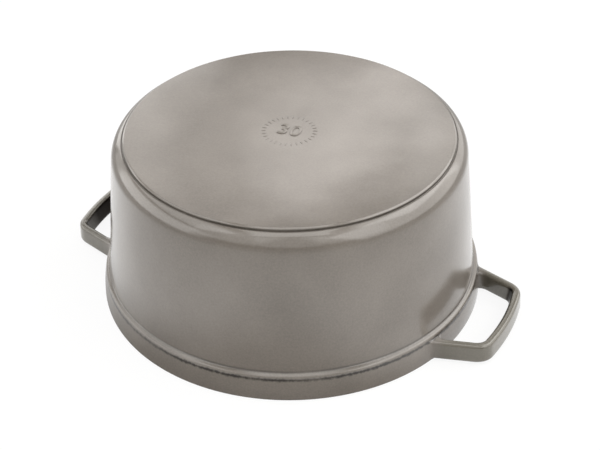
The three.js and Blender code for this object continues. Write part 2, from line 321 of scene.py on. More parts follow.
class RoasterKnob(bpy.types.PropertyGroup):
    """Sizes of the knob and its screw that the frame doesn't give."""

    thread: length("Thread", "Depth of the blind hole for the screw", 0.016)
    foot: length("Foot", "Radius of the knob's foot", 0.011)
    foot_edge: length("Foot edge", "Radius on the edge of the foot", 0.001)
    foot_rise: length("Foot rise", "From the foot to the neck", 0.003)
    neck: length("Neck", "Radius of the neck", 0.008)
    cap: length("Cap", "Height of the cap", 0.011)
    cap_slope: length("Cap slope", "How far the cap's side lies inside its top and underside", 0.002)
    cap_edge: length("Cap edge", "Radius on the neck and the cap", 0.003)
    groove: length("Groove", "Radius of the ring turned into the cap's top", 0.010)
    groove_step: length("Groove step", "Half the groove's width, its depth and its drop", 0.0005)
    shank: length("Shank", "Radius of the screw's shank", 0.003)
    head: length("Head", "Height of the screw's head", 0.0036)
    slot: length("Slot", "Width of the screw's slot", 0.0012)
    slot_depth: length("Slot depth", "Depth of the screw's slot", 0.0014)


class RoasterMark(bpy.types.PropertyGroup):
    """The size figure in the middle of the base and the ring of dial strokes round it."""

    figure: bpy.props.StringProperty(
        name="Figure", description="Nominal diameter in centimetres", default="30"
    )
    figure_size: length("Figure size", "Size of the figure", 0.0200)
    figure_weight: length("Figure weight", "Swelling of the figure's lines, thinner below zero", -0.00005)
    relief: length("Relief", "How far the figure stands out of the base", 0.0006)
    turn: turn("Turn", "Turn of the figure from the handles' line", 6.7)
    ring: length("Ring", "Radius of the ring of strokes", 0.0203)
    strokes: tally("Strokes", "Strokes in the ring", 30)
    stroke_length: length("Stroke length", "Length of a stroke", 0.0052)
    stroke_width: length("Stroke width", "Width of a stroke", 0.0013)


class RoasterFinish(bpy.types.PropertyGroup):
    """Colours and gloss of the finishes."""

    enamel: tint("Enamel", "Outer enamel", (0.136, 0.119, 0.102))
    enamel_roughness: share("Enamel roughness", "Roughness of the outer enamel", 0.32)
    glaze_roughness: share("Glaze roughness", "Roughness of the clear glaze on the outer enamel", 0.14)
    # This dark colour is both thin enamel on edges and painted shade in the shoulder's crease and inside the
    # loops.
    thin_enamel_and_shade: tint("Thin enamel", "Thin outer enamel, on edges and in loops", (0.016, 0.0125, 0.009))
    strap_tone: tint("Strap tone", "How the outer enamel is toned on the handles", (0.68, 0.69, 0.60))
    black_enamel: tint("Black enamel", "Matt enamel inside", (0.016, 0.015, 0.014))
    nickel: tint("Nickel", "Plating of the knob", (0.62, 0.60, 0.56))
    nickel_roughness: share("Nickel roughness", "Roughness of the knob", 0.26)
    steel: tint("Steel", "Screw and washer", (0.55, 0.55, 0.54))
    steel_roughness: share("Steel roughness", "Roughness of screw and washer", 0.38)


class RoasterStudio(bpy.types.PropertyGroup):
    """Floor, lamps and camera."""

    floor: tint("Floor", "Colour of the floor", (0.86, 0.86, 0.86))
    floor_glow: share("Floor glow", "Share of plain white that the camera sees in the floor", 0.88)
    glow_start: length("Glow start", "Distance where the floor begins to turn plain white", 0.4)
    glow_end: length("Glow end", "Distance where the floor is plain white", 2.0)
    floor_shine: share("Floor shine", "Share of plain white that the enamel mirrors from the floor", 0.82)
    shade_start: length("Shade start", "Distance where the mirrored floor's shade is deepest", 0.155)
    shade_end: length("Shade end", "Distance where the mirrored floor's shade ends", 0.29)
    shade_level: share("Shade level", "What is left of the mirrored floor in its shade", 0.04)
    shade_shift: length("Shade shift", "How far the mirrored floor's shade lies toward the camera", 0.04)
    shade_side: length("Shade side", "How far the mirrored floor's shade lies to the camera's left", 0.025)
    shade_width: share("Shade width", "Width of the mirrored floor's shade as a share of its depth", 0.62)
    fade_start: length("Fade start", "Distance where the mirrored floor begins to fade", 0.27)
    fade_end: length("Fade end", "Distance where the mirrored floor has faded", 0.56)
    fade_level: share("Fade level", "What is left of the mirrored floor far off", 0.2)
    surround: share("Surround", "Strength of the even light from all round", 0.1)
    base_tint: tint("Base tint", "Colour of the two soft boxes that the base mirrors", (1.0, 0.955, 0.915))
    lamp_tint: tint("Lamp tint", "Colour of the other soft boxes", (1.0, 0.985, 0.96))
    lamp_power: bpy.props.FloatProperty(
        name="Lamp power", description="Factor on all soft boxes", default=1, min=0, subtype="FACTOR"
    )
    lamp_distance: length("Lamp distance", "From the pot to each soft box", 1.6)
    lamp_aim: length("Lamp aim", "Height of the point that the soft boxes face", 0.07)
    lens: bpy.props.FloatProperty(
        name="Lens", description="Focal length", default=78, unit="CAMERA", subtype="DISTANCE_CAMERA"
    )
    azimuth: turn("Azimuth", "Turn of the camera from the front", 26.7)
    elevation: turn("Elevation", "Height of the camera above the horizon", 36.16)
    roll: turn("Roll", "Tilt of the camera about its own axis", -0.79)
    distance: length("Distance", "From the camera to its target", 1.08087)
    target: bpy.props.FloatVectorProperty(
        name="Target",
        description="Point that the camera looks at",
        default=(0.00652, 0.00328, 0.04916),
        size=3,
        subtype="XYZ",
        unit="LENGTH",
    )

    @property
    def front(self):
        """Level direction from the pot to the camera."""
        return Vector((math.sin(self.azimuth), -math.cos(self.azimuth), 0))

    @property
    def right(self):
        """Level direction to the camera's right."""
        return Vector((math.cos(self.azimuth), math.sin(self.azimuth), 0))


# Outlines and solids.
def rounded(corners, closed=False, steps=None):
    """The outline through corners of (x, y, fillet), each fillet an arc that touches both its sides."""
    points = []
    last = len(corners) - 1
    for index, (x, y, fillet) in enumerate(corners):
        at = Vector((x, y))
        if fillet == 0 or (not closed and index in (0, last)):
            points.append(at)
            continue
        back = (Vector(corners[index - 1][:2]) - at).normalized()
        ahead = (Vector(corners[0 if index == last else index + 1][:2]) - at).normalized()
        half_angle = math.acos(max(-1, min(1, back.dot(ahead)))) / 2
        centre = at + (back + ahead).normalized() * (fillet / math.sin(half_angle))
        start = at + back * (fillet / math.tan(half_angle)) - centre
        swing = math.copysign(math.pi - 2 * half_angle, ahead.cross(back))
        count = steps or max(3, math.ceil(abs(swing) / FILLET_TURN))
        for step in range(count + 1):
            points.append(centre + Matrix.Rotation(swing * step / count, 2) @ start)
    return points


def spaced(points, longest=LONGEST_FACET):
    """The same outline with points added on its long straight runs."""
    dense = [points[0]]
    for before, after in zip(points, points[1:]):
        count = max(1, math.ceil((after - before).length / longest))
        dense.extend(before.lerp(after, step / count) for step in range(1, count + 1))
    return dense


def curve_points(height, first, last, count):
    """Corners along a height that is a function of the radius."""
    radii = [first + (last - first) * step / count for step in range(count + 1)]
    return [(radius, height(radius), 0) for radius in radii]


def ramp(value, start, end):
    """0 up to the start, 1 from the end on and straight between."""
    return max(0, min(1, (value - start) / (end - start)))


def directions(count):
    """Evenly spread directions round Z."""
    angles = [math.tau * step / count for step in range(count)]
    return [(math.cos(angle), math.sin(angle)) for angle in angles]


def turned(outline, segments, closed=False):
    """Vertices and faces of an outline of (radius, height) turned round Z. A closed outline is a ring."""
    vertices, rings, faces = [], [], []
    compass = directions(segments)
    for radius, height in outline:
        if radius < MERGE_DISTANCE:
            rings.append([len(vertices)] * segments)
            vertices.append((0, 0, height))
        else:
            rings.append(list(range(len(vertices), len(vertices) + segments)))
            vertices.extend((radius * x, radius * y, height) for x, y in compass)
    following = rings[1:] + rings[:1] if closed else rings[1:]
    for low, high in zip(rings, following):
        for i in range(segments):
            j = (i + 1) % segments
            loop = (low[i], low[j], high[j], high[i])
            faces.append(tuple(dict.fromkeys(loop)))
    return vertices, faces


def lofted(rings):
    """Vertices and faces of rings of equally many points, skinned and closed with a cap at either end."""
    count = len(rings[0])
    vertices = [point for ring in rings for point in ring]
    faces = []
    for first in range(0, len(vertices) - count, count):
        for i in range(count):
            j = (i + 1) % count
            faces.append((first + i, first + j, first + count + j, first + count + i))
    last = len(vertices) - count
    faces.append(tuple(reversed(range(count))))
    faces.append(tuple(range(last, last + count)))
    return vertices, faces


def shown(name, data):
    """An object at the origin that shows a mesh, a text, a lamp or a camera."""
    thing = bpy.data.objects.new(name, data)
    bpy.context.scene.collection.objects.link(thing)
    return thing


def piece(name, shape, materials=()):
    """An object with a smooth mesh of the shape's vertices and faces, in the materials."""
    vertices, faces = shape
    mesh = bpy.data.meshes.new(name)
    mesh.from_pydata(vertices, [], faces)
    for material in materials:
        mesh.materials.append(material)
    mesh.shade_smooth()
    mesh.update()
    return shown(name, mesh)


def second_finish(mesh, count):
    """Gives a mesh's first faces its second material."""
    for polygon in mesh.polygons[:count]:
        polygon.material_index = 1


def settled(thing):
    """The mesh of an object with its modifiers worked in. The modifiers are removed."""
    bpy.context.view_layer.update()
    graph = bpy.context.evaluated_depsgraph_get()
    mesh = bpy.data.meshes.new_from_object(thing.evaluated_get(graph), depsgraph=graph)
    thing.modifiers.clear()
    for index in reversed(range(len(mesh.materials))):
        if mesh.materials[index] is None:
            mesh.materials.pop(index=index)
    return mesh


def combined(thing, other, operation):
    """Joins or cuts a closed mesh object with another, which is then removed."""
    cutter = thing.modifiers.new("Combine", "BOOLEAN")
    cutter.operation = operation
    cutter.solver = "MANIFOLD"
    cutter.object = other
    thing.data = settled(thing)
    bpy.data.objects.remove(other)
    return thing


def cleaned(mesh):
    """Merges the doubles that a join leaves and shades the result smooth."""
    work = bmesh.new()
    work.from_mesh(mesh)
    bmesh.ops.remove_doubles(work, verts=work.verts, dist=MERGE_DISTANCE)
    bmesh.ops.dissolve_degenerate(work, edges=work.edges, dist=MERGE_DISTANCE)
    work.to_mesh(mesh)
    work.free()
    mesh.shade_smooth()
    mesh.update()


# Node trees.
def fed(tree, node, values):
    """Sets a node's inputs to values, or links them to outputs of other nodes."""
    for key, value in values.items():
        if isinstance(value, bpy.types.NodeSocket):
            tree.links.new(value, node.inputs[key])
        else:
            node.inputs[key].default_value = value


def placed(tree, kind, values=(), **settings):
    """A new node with its settings and inputs."""
    node = tree.nodes.new(kind)
    for key, value in settings.items():
        setattr(node, key, value)
    fed(tree, node, dict(values))
    return node


def made(tree, kind, values=(), **settings):
    """The first output of a new node."""
    return placed(tree, kind, values, **settings).outputs[0]


def worked_out(tree, operation, *values, clamp=False):
    """The result of a Math node."""
    return made(tree, "ShaderNodeMath", dict(enumerate(values)), operation=operation, use_clamp=clamp)


def mapped(tree, value, start, end, low, high, kind="LINEAR"):
    """A value that goes from low to high while another goes from start to end."""
    ends = {"Value": value, "From Min": start, "From Max": end, "To Min": low, "To Max": high}
    return made(tree, "ShaderNodeMapRange", ends, interpolation_type=kind)


def noise_at(tree, place, scale, detail):
    """A soft noise at a place."""
    return made(tree, "ShaderNodeTexNoise", {"Vector": place, "Scale": scale, "Detail": detail})


def scaled(tree, colour, factor):
    """A colour times a factor."""
    return made(tree, "ShaderNodeVectorMath", {0: colour, "Scale": factor}, operation="SCALE")


def distance_of(tree, vector):
    """The length of a vector."""
    return placed(tree, "ShaderNodeVectorMath", {0: vector}, operation="LENGTH").outputs["Value"]


def object_place(tree):
    """The place on the object."""
    return placed(tree, "ShaderNodeTexCoord").outputs["Object"]


def round_axis(tree, place):
    """A place's distance from the axis, and its height."""
    part = placed(tree, "ShaderNodeSeparateXYZ", {0: place}).outputs
    flat = made(tree, "ShaderNodeCombineXYZ", {"X": part["X"], "Y": part["Y"]})
    return distance_of(tree, flat), part["Z"]


def blended(tree, factor, first, second, kind="MIX"):
    """A colour blended from two."""
    values = {"Factor": factor, FIRST_COLOUR: first, SECOND_COLOUR: second}
    return placed(tree, "ShaderNodeMix", values, data_type="RGBA", blend_type=kind).outputs[MIXED_COLOUR]


def new_group(name, kind, inputs, outputs):
    """An empty node group, the outputs of its input node and its output node. Each input has a default."""
    tree = bpy.data.node_groups.new(name, kind)
    for label, default in inputs.items():
        socket_type = SOCKET_KINDS.get(label) or SOCKET_KINDS[type(default)]
        socket = tree.interface.new_socket(label, in_out="INPUT", socket_type=socket_type)
        if default is not None:
            socket.default_value = default
    for label in outputs:
        socket_type = SOCKET_KINDS.get(label, SOCKET_KINDS[float])
        tree.interface.new_socket(label, in_out="OUTPUT", socket_type=socket_type)
    return tree, tree.nodes.new("NodeGroupInput").outputs, tree.nodes.new("NodeGroupOutput")


def grown(thing, tree, values):
    """Gives an object the mesh that a geometry tree makes of it, with the tree's named inputs set."""
    modifier = thing.modifiers.new(tree.name, "NODES")
    modifier.node_group = tree
    for item in tree.interface.items_tree:
        if item.in_out == "INPUT" and item.name in values:
            modifier[item.identifier] = values[item.name]
    thing.data = settled(thing)
    thing.data.shade_smooth()


# Shader groups that several finishes share.
def casting_surface():
    """Fine grain, slow tone and soft unevenness of a fired enamel coat."""
    tree, given, result = new_group(
        "Casting surface",
        "ShaderNodeTree",
        {
            "Colour": (0.5, 0.5, 0.5, 1),
            "Grain": 0.1,
            "Tone": 0.1,
            "Roughness": 0.3,
            "Roughness spread": 0.1,
            "Gloss spread": 0.1,
        },
        ("Colour", "Roughness", "Height", "Gloss"),
    )
    place = object_place(tree)
    grain = noise_at(tree, place, GRAIN_SCALE, detail=3)
    ripple = noise_at(tree, place, RIPPLE_SCALE, detail=2)
    cloud = noise_at(tree, place, CLOUD_SCALE, detail=3)

    def swayed(value, label):
        """A noise about zero as strong as one of the inputs says."""
        return worked_out(tree, "MULTIPLY", worked_out(tree, "SUBTRACT", value, NOISE_MIDDLE), given[label])

    sway = worked_out(tree, "ADD", swayed(grain, "Grain"), swayed(cloud, "Tone"))
    level = worked_out(tree, "ADD", sway, 1)
    dull = worked_out(tree, "SUBTRACT", 1, given["Gloss spread"])
    fine = worked_out(tree, "MULTIPLY", grain, GRAIN_RELIEF)
    fed(tree, result, {
        "Colour": scaled(tree, given["Colour"], level),
        "Roughness": worked_out(tree, "ADD", given["Roughness"], swayed(cloud, "Roughness spread")),
        "Height": worked_out(tree, "ADD", fine, ripple),
        "Gloss": mapped(tree, cloud, start=0.35, end=0.65, low=dull, high=1),
    })
    return tree


def wear_and_shade_ring():
    """A mask round the axis, along the ring of a radius and a height, that breaks up along its way. It ends
    at twice its width. It marks thin enamel on edges, and painted shade in the crease over the shoulder."""
    tree, given, result = new_group(
        "Wear and shade ring",
        "ShaderNodeTree",
        {"Radius": 0.1, "Height": 0.0, "Width": 0.001, "Break-up": 0.5, "Strength": 1.0},
        ("Mask",),
    )
    place = object_place(tree)
    radius, height = round_axis(tree, place)
    across = worked_out(tree, "POWER", worked_out(tree, "SUBTRACT", radius, given["Radius"]), 2)
    rise = worked_out(tree, "POWER", worked_out(tree, "SUBTRACT", height, given["Height"]), 2)
    distance = worked_out(tree, "SQRT", worked_out(tree, "ADD", across, rise))
    speck = noise_at(tree, place, SPECK_SCALE, detail=2)
    stretch = noise_at(tree, place, STRETCH_SCALE, detail=2)
    off_middle = worked_out(tree, "SUBTRACT", speck, NOISE_MIDDLE)
    ragged = worked_out(tree, "MULTIPLY", off_middle, given["Break-up"])
    near = worked_out(tree, "SUBTRACT", 1, worked_out(tree, "DIVIDE", distance, given["Width"]))
    line = worked_out(tree, "ADD", near, ragged, clamp=True)
    along = mapped(tree, stretch, start=0.3, end=0.6, low=0.35, high=1)
    broken = worked_out(tree, "MULTIPLY", line, along)
    held = worked_out(tree, "MULTIPLY", broken, given["Strength"], clamp=True)
    within = worked_out(tree, "GREATER_THAN", near, -1)
    fed(tree, result, {"Mask": worked_out(tree, "MULTIPLY", held, within)})
    return tree


def used(tree, group, values):
    """The outputs of a shader group placed in a material with its own values."""
    return placed(tree, "ShaderNodeGroup", values, node_tree=group).outputs


# Finishes.
def new_material(name):
    """A material with an empty tree."""
    material = bpy.data.materials.new(name)
    material.use_nodes = True
    material.node_tree.nodes.clear()
    return material


def surfaced(tree, surface):
    """Ends a material's tree in a shader's output."""
    placed(tree, "ShaderNodeOutputMaterial", {"Surface": surface})


def bumped(tree, height, strength, distance):
    """A normal that follows a height."""
    return made(tree, "ShaderNodeBump", {"Height": height, "Strength": strength, "Distance": distance})


def grey_enamel(scene, surface, edge):
    """Glossy warm grey enamel, toned on the handles, that runs thin and dark over the band's edge and in the
    seam round the base disc, with painted shade in the crease over the shoulder and on the faces inside the
    loops."""
    pot, finish = scene.roaster_pot, scene.roaster_finish
    tree = new_material("warm_grey_enamel").node_tree
    coat = used(tree, surface, {
        "Colour": (*finish.enamel, 1),
        "Grain": 0.45,
        "Tone": 0.55,
        "Roughness": finish.enamel_roughness,
        "Roughness spread": 0.10,
        "Gloss spread": 0.25,
    })
    edges = {
        "ledge": (pot.outer_radius(pot.ledge_height), pot.ledge_height),
        "band": (pot.band_radius(pot.band_height), pot.band_height),
        "crease": (pot.foot_radius + pot.seam / 2, pot.height),
    }
    # The loop attribute holds painted shade on the handles' faces inside the loops.
    inside = placed(tree, "ShaderNodeAttribute", attribute_name="loop_shade").outputs["Fac"]
    strap = placed(tree, "ShaderNodeAttribute", attribute_name="strap").outputs["Fac"]
    # One mask: thin enamel on the band's edge and in the seam, painted shade in the shoulder's crease and
    # inside the loops.
    wear_and_shade = inside
    for name, (radius, height) in edges.items():
        outward, upward, width, break_up, strength = WEAR_AND_SHADE_RINGS[name]
        ring = used(tree, edge, {
            "Radius": radius + outward,
            "Height": height + upward,
            "Width": width,
            "Break-up": break_up,
            "Strength": strength,
        })
        wear_and_shade = worked_out(tree, "MAXIMUM", wear_and_shade, ring["Mask"])
    toned = blended(tree, strap, coat["Colour"], (*finish.strap_tone, 1), "MULTIPLY")
    # Inside the loops the painted shade also takes off the glaze and turns the face to dark metal, so that
    # it mirrors little.
    coated = worked_out(tree, "SUBTRACT", 1, inside)
    surfaced(tree, made(tree, "ShaderNodeBsdfPrincipled", {
        "Base Color": blended(tree, wear_and_shade, toned, (*finish.thin_enamel_and_shade, 1)),
        "Roughness": coat["Roughness"],
        "Metallic": inside,
        "IOR": 1.55,
        "Specular IOR Level": 0.3,
        "Coat Weight": worked_out(tree, "MULTIPLY", coated, coat["Gloss"]),
        "Coat IOR": 1.68,
        "Coat Roughness": finish.glaze_roughness,
        "Normal": bumped(tree, coat["Height"], strength=0.25, distance=0.0002),
    }))


def black_enamel(scene, surface):
    """Matt black enamel with a coarse grain, as inside the pot and under the lid."""
    tree = new_material("matt_black_enamel").node_tree
    coat = used(tree, surface, {
        "Colour": (*scene.roaster_finish.black_enamel, 1),
        "Grain": 0.9,
        "Tone": 0.4,
        "Roughness": 0.55,
        "Roughness spread": 0.2,
    })
    surfaced(tree, made(tree, "ShaderNodeBsdfPrincipled", {
        "Base Color": coat["Colour"],
        "Roughness": coat["Roughness"],
        "Normal": bumped(tree, coat["Height"], strength=0.35, distance=0.0004),
    }))


def turned_metal(name, colour, roughness):
    """Metal with the fine rings that a lathe or a polishing wheel leaves round the axis."""
    tree = new_material(name).node_tree
    place = object_place(tree)
    radius, height = round_axis(tree, place)
    rings = made(tree, "ShaderNodeCombineXYZ", {"X": radius, "Z": height})
    lines = noise_at(tree, rings, LATHE_SCALE, detail=2)
    smear = noise_at(tree, place, SMEAR_SCALE, detail=3)
    shade = mapped(tree, lines, start=0.3, end=0.7, low=0.9, high=1.04)
    surfaced(tree, made(tree, "ShaderNodeBsdfPrincipled", {
        "Base Color": scaled(tree, tuple(colour), shade),
        "Roughness": mapped(tree, smear, start=0.3, end=0.7, low=roughness * 0.8, high=roughness * 1.25),
        "Metallic": 1,
        "Normal": bumped(tree, lines, strength=0.15, distance=0.00004),
    }))


def finishes(scene):
    """The object's materials by name, made once."""
    names = ("warm_grey_enamel", "matt_black_enamel", "satin_nickel", "plain_steel")
    if not all(name in bpy.data.materials for name in names):
        finish = scene.roaster_finish
        surface = casting_surface()
        grey_enamel(scene, surface, wear_and_shade_ring())
        black_enamel(scene, surface)
        turned_metal("satin_nickel", finish.nickel, finish.nickel_roughness)
        turned_metal("plain_steel", finish.steel, finish.steel_roughness)
    return {name: bpy.data.materials[name] for name in names}


def enamels(scene):
    """The enamels of a casting: grey outside, black inside."""
    worn = finishes(scene)
    return [worn["warm_grey_enamel"], worn["matt_black_enamel"]]


# Pot.
def base_crease(pot):
    """Corners from the wall's top, round the corner, down into the crease and up onto the base disc."""
    centre_height = pot.height - pot.corner_drop - pot.corner
    centre_radius = pot.outer_radius(centre_height) - pot.corner / math.cos(pot.draft)
    crease = pot.foot_radius + pot.seam
    end = math.acos((crease - centre_radius) / pot.corner)
    count = math.ceil((end - pot.draft) / (FILLET_TURN / 2))
    arc = []
    for step in range(count + 1):
        swing = pot.draft + (end - pot.draft) * step / count
        radius = centre_radius + pot.corner * math.cos(swing)
        height = centre_height + pot.corner * math.sin(swing)
        arc.append((radius, height, 0))
    lip_radius, lip_height, _ = arc.pop()
    bottom = lip_height - pot.seam_depth
    return [
        *arc,
        (lip_radius, lip_height, pot.seam_edge),
        (lip_radius - pot.seam * SEAM_SLOPE, bottom, pot.seam * SEAM_ROUND),
        (pot.foot_radius, bottom, pot.seam * SEAM_ROUND),
        (pot.foot_radius, pot.height - pot.foot_drop, pot.foot_edge),
        (pot.foot_radius - pot.foot_bevel, pot.height, pot.foot_edge),
    ]


def bowl_outline(pot):
    """The bowl's outline, from the middle of the inner base round the rim to the middle of the outer base,
    and the number of its first rows that lie inside."""
    inner_base = pot.height - pot.base
    inside = spaced(rounded([
        (0, inner_base, 0),
        (pot.inner_radius(inner_base), inner_base, pot.inner_corner),
        (pot.mouth_radius, pot.seat_depth, pot.seat_edge),
        (pot.seat_radius, pot.seat_depth, pot.seat_edge / 2),
        (pot.seat_radius, 0, pot.lip_inner_edge),
        (pot.seat_radius + pot.lip / 2, 0, 0),
    ]))
    band_middle = pot.band_height / 2
    band_top = pot.band_radius(pot.band_height)
    outside = spaced(rounded([
        (pot.seat_radius + pot.lip / 2, 0, 0),
        (pot.rim_radius - pot.lip_draw, 0, pot.lip_edge),
        (pot.band_radius(band_middle) + pot.band_swell, band_middle, pot.band_round),
        (band_top, pot.band_height, pot.band_edge),
        (band_top - pot.crown_inset, pot.crown_height, pot.crown_round),
        (pot.outer_radius(pot.ledge_height), pot.ledge_height, pot.shoulder_fillet),
        *base_crease(pot),
        *curve_points(pot.base_height, pot.foot_radius * DISC_START, 0, DISC_STEPS),
    ]))
    return inside + outside[1:], len(inside) - 1


def strap_stations(pot, handle):
    """Places, headings and bow shares along a handle's strap seen from above, from one root to the other."""
    along = Vector((math.cos(handle.toe_in), -math.sin(handle.toe_in)))
    inward = Vector((-math.sin(handle.toe_in), -math.cos(handle.toe_in)))
    half_span = handle.span / 2
    root = Vector((math.sqrt(pot.rim_radius**2 - half_span**2), half_span))
    start = root - along * (handle.arm / 2 + handle.outer_fillet + pot.lip / 2)
    arm_foot = root + along * (handle.inner_fillet + handle.arm / 2)
    bow_radius = pot.rim_radius + handle.reach - handle.bow / 2
    offset = root + inward * handle.corner
    toward = offset.dot(along)
    run = math.sqrt(toward**2 + (bow_radius - handle.corner) ** 2 - offset.length_squared) - toward
    centre = offset + along * run
    arm_end = centre - inward * handle.corner
    arm_angle = math.pi / 2 - handle.toe_in
    bow_angle = math.atan2(centre.y, centre.x)

    stations = [(start.lerp(arm_foot, step / ROOT_STEPS), along, 0.0) for step in range(ROOT_STEPS + 1)]
    stations += [(arm_foot.lerp(arm_end, step / ARM_STEPS), along, 0.0) for step in range(1, ARM_STEPS + 1)]
    for step in range(1, BEND_STEPS + 1):
        part = step / BEND_STEPS
        swing = arm_angle + (bow_angle - arm_angle) * part
        out = Vector((math.cos(swing), math.sin(swing)))
        eased = part * part * (3 - 2 * part)
        stations.append((centre + out * handle.corner, Vector((out.y, -out.x)), eased))
    for step in range(1, BOW_STEPS + 1):
        swing = bow_angle * (1 - step / BOW_STEPS)
        out = Vector((math.cos(swing), math.sin(swing)))
        stations.append((out * bow_radius, Vector((out.y, -out.x)), 1.0))
    mirrored = [
        (Vector((place.x, -place.y)), Vector((-heading.x, heading.y)), bow)
        for place, heading, bow in reversed(stations[:-1])
    ]
    return stations + mirrored


def strap_section(handle, bow):
    """The strap's section as (outward, height) points. The bow is thicker and has more draft."""
    half = (handle.arm + (handle.bow - handle.arm) * bow) / 2
    inner = -half + handle.arm_draft + (handle.bow_inner_draft - handle.arm_draft) * bow
    outer = half - handle.arm_draft - (handle.bow_outer_draft - handle.arm_draft) * bow
    top = handle.start + handle.height
    arcs = rounded([
        (-half, handle.start, handle.edge),
        (half, handle.start, handle.edge),
        (outer, top, handle.edge),
        (inner, top, handle.edge),
    ], closed=True, steps=EDGE_STEPS)
    points = []
    for index, point in enumerate(arcs):
        points.append(point)
        if index % (EDGE_STEPS + 1) == EDGE_STEPS:
            following = arcs[(index + 1) % len(arcs)]
            points.extend(point.lerp(following, step / SIDE_STEPS) for step in range(1, SIDE_STEPS))
    return points


def flare(distance, radius, lean=0):
    """How much a fillet of this radius widens the strap at a distance from the band. Lean is how far the
    strap's side and the band open beyond a square corner."""
    start = radius / math.tan((math.pi / 2 + lean) / 2)
    in_fillet = max(0, min(radius * math.cos(lean), start - distance / math.cos(lean)))
    return radius - math.sqrt(radius**2 - in_fillet**2)


def strap_ring(pot, handle, place, heading, bow):
    """One ring of the strap, square to its path and flared where it runs into the band."""
    outward = Vector((-heading.y, heading.x))
    middle = handle.start + handle.height / 2
    lean = math.acos(min(1, abs(heading.dot(place.normalized())))) if bow == 0 else 0
    ring = []
    for x, y in strap_section(handle, bow):
        distance = (place + outward * x).length - pot.band_radius(y)
        side_share = min(1, abs(x) / (handle.arm / 2 - handle.edge))
        height_share = min(1, abs(y - middle) / (handle.height / 2 - handle.edge))
        if x > 0:
            widened = flare(distance, handle.outer_fillet, lean)
        else:
            widened = flare(distance, handle.inner_fillet)
        side = x + math.copysign(widened, x) * side_share
        height = y + math.copysign(flare(distance, handle.edge_fillet), y - middle) * height_share
        plan = place + outward * side
        ring.append((plan.x, plan.y, height))
    return ring


def handle_loops(pot, handle, materials):
    """Both loop handles, their roots trimmed to end inside the rim's lip."""
    rings = [strap_ring(pot, handle, *station) for station in strap_stations(pot, handle)]
    vertices, faces = lofted(rings)
    count = len(vertices)
    vertices += [(-x, -y, z) for x, y, z in vertices]
    faces += [tuple(count + corner for corner in face) for face in faces]
    loops = piece("handle_loops", (vertices, faces), materials)
    core_radius = pot.rim_radius - pot.lip / 2
    reach = 2 * pot.band_height
    core = turned([(0, -reach), (core_radius, -reach), (core_radius, reach), (0, reach)], POT_SEGMENTS)
    return combined(loops, piece("core", core, materials), "DIFFERENCE")


def roll_out(mesh, pot):
    """Gives the outside of the casting its slow waves, none of them near the rim band."""
    normals = [normal.vector.copy() for normal in mesh.vertex_normals]
    for vertex, normal in zip(mesh.vertices, normals):
        place = vertex.co.copy()
        rise = (place.z - pot.shoulder_top) / WAVE_FADE
        outward = Vector((place.x, place.y, 0)).normalized() + UP
        if rise <= 0 or normal.dot(outward) < 0:
            continue
        fine_wave = noise.noise(place * FINE_WAVE_SCALE + FINE_WAVE_SHIFT)
        wave = noise.noise(place * WAVE_SCALE) + FINE_WAVE_SHARE * fine_wave
        vertex.co = place + normal * (pot.unevenness * (wave - WAVE_TOP) * min(1, rise))
    mesh.update()


def shade_loops(mesh, pot, handle):
    """Marks the handles' straps, and paints shade on their faces inside the loops, where little light
    reaches.
    The bow's inner face gets the deepest painted shade."""
    middle = pot.rim_radius + (handle.reach - handle.bow) / 2
    arm_turn = math.sin(handle.toe_in)
    loop_shades = []
    straps = []
    for vertex, normal in zip(mesh.vertices, mesh.vertex_normals):
        flat = Vector((vertex.co.x, vertex.co.y, 0))
        toward = Vector((math.copysign(middle, flat.x), 0, 0)) - flat
        facing = ramp(normal.vector.dot(toward.normalized()), *LOOP_FACING)
        strap = ramp(flat.length, pot.rim_radius, pot.rim_radius + handle.inner_fillet)
        toward_pot = -math.copysign(1, flat.x) * normal.vector.x
        past_arm = ramp(toward_pot, arm_turn, arm_turn + BOW_TURN)
        depth = handle.arm_shade + (1 - handle.arm_shade) * past_arm
        # Painted shade inside the loop, deepest on the bow's inner face.
        loop_shades.append(facing * strap * depth)
        straps.append(strap)
    for name, values in (("loop_shade", loop_shades), ("strap", straps)):
        layer = mesh.attributes.new(name, "FLOAT", "POINT")
        layer.data.foreach_set("value", values)


class ROASTER_OT_cast_pot(bpy.types.Operator):
    """Cast the pot: bowl, base disc, rim band and both loop handles as one enamelled piece"""

    bl_idname = "roaster.cast_pot"
    bl_label = "Cast pot"
    groups = ("roaster_pot", "roaster_handle", "roaster_finish")

    def execute(self, context):
        pot, handle = context.scene.roaster_pot, context.scene.roaster_handle
        materials = enamels(context.scene)
        outline, inner_rows = bowl_outline(pot)
        casting = piece("pot_casting", turned(outline, POT_SEGMENTS), materials)
        second_finish(casting.data, inner_rows * POT_SEGMENTS)
        combined(casting, handle_loops(pot, handle, materials), "UNION")
        cleaned(casting.data)
        roll_out(casting.data, pot)
        shade_loops(casting.data, pot, handle)
        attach(casting, "pot")
        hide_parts("pot")
        return {"FINISHED"}


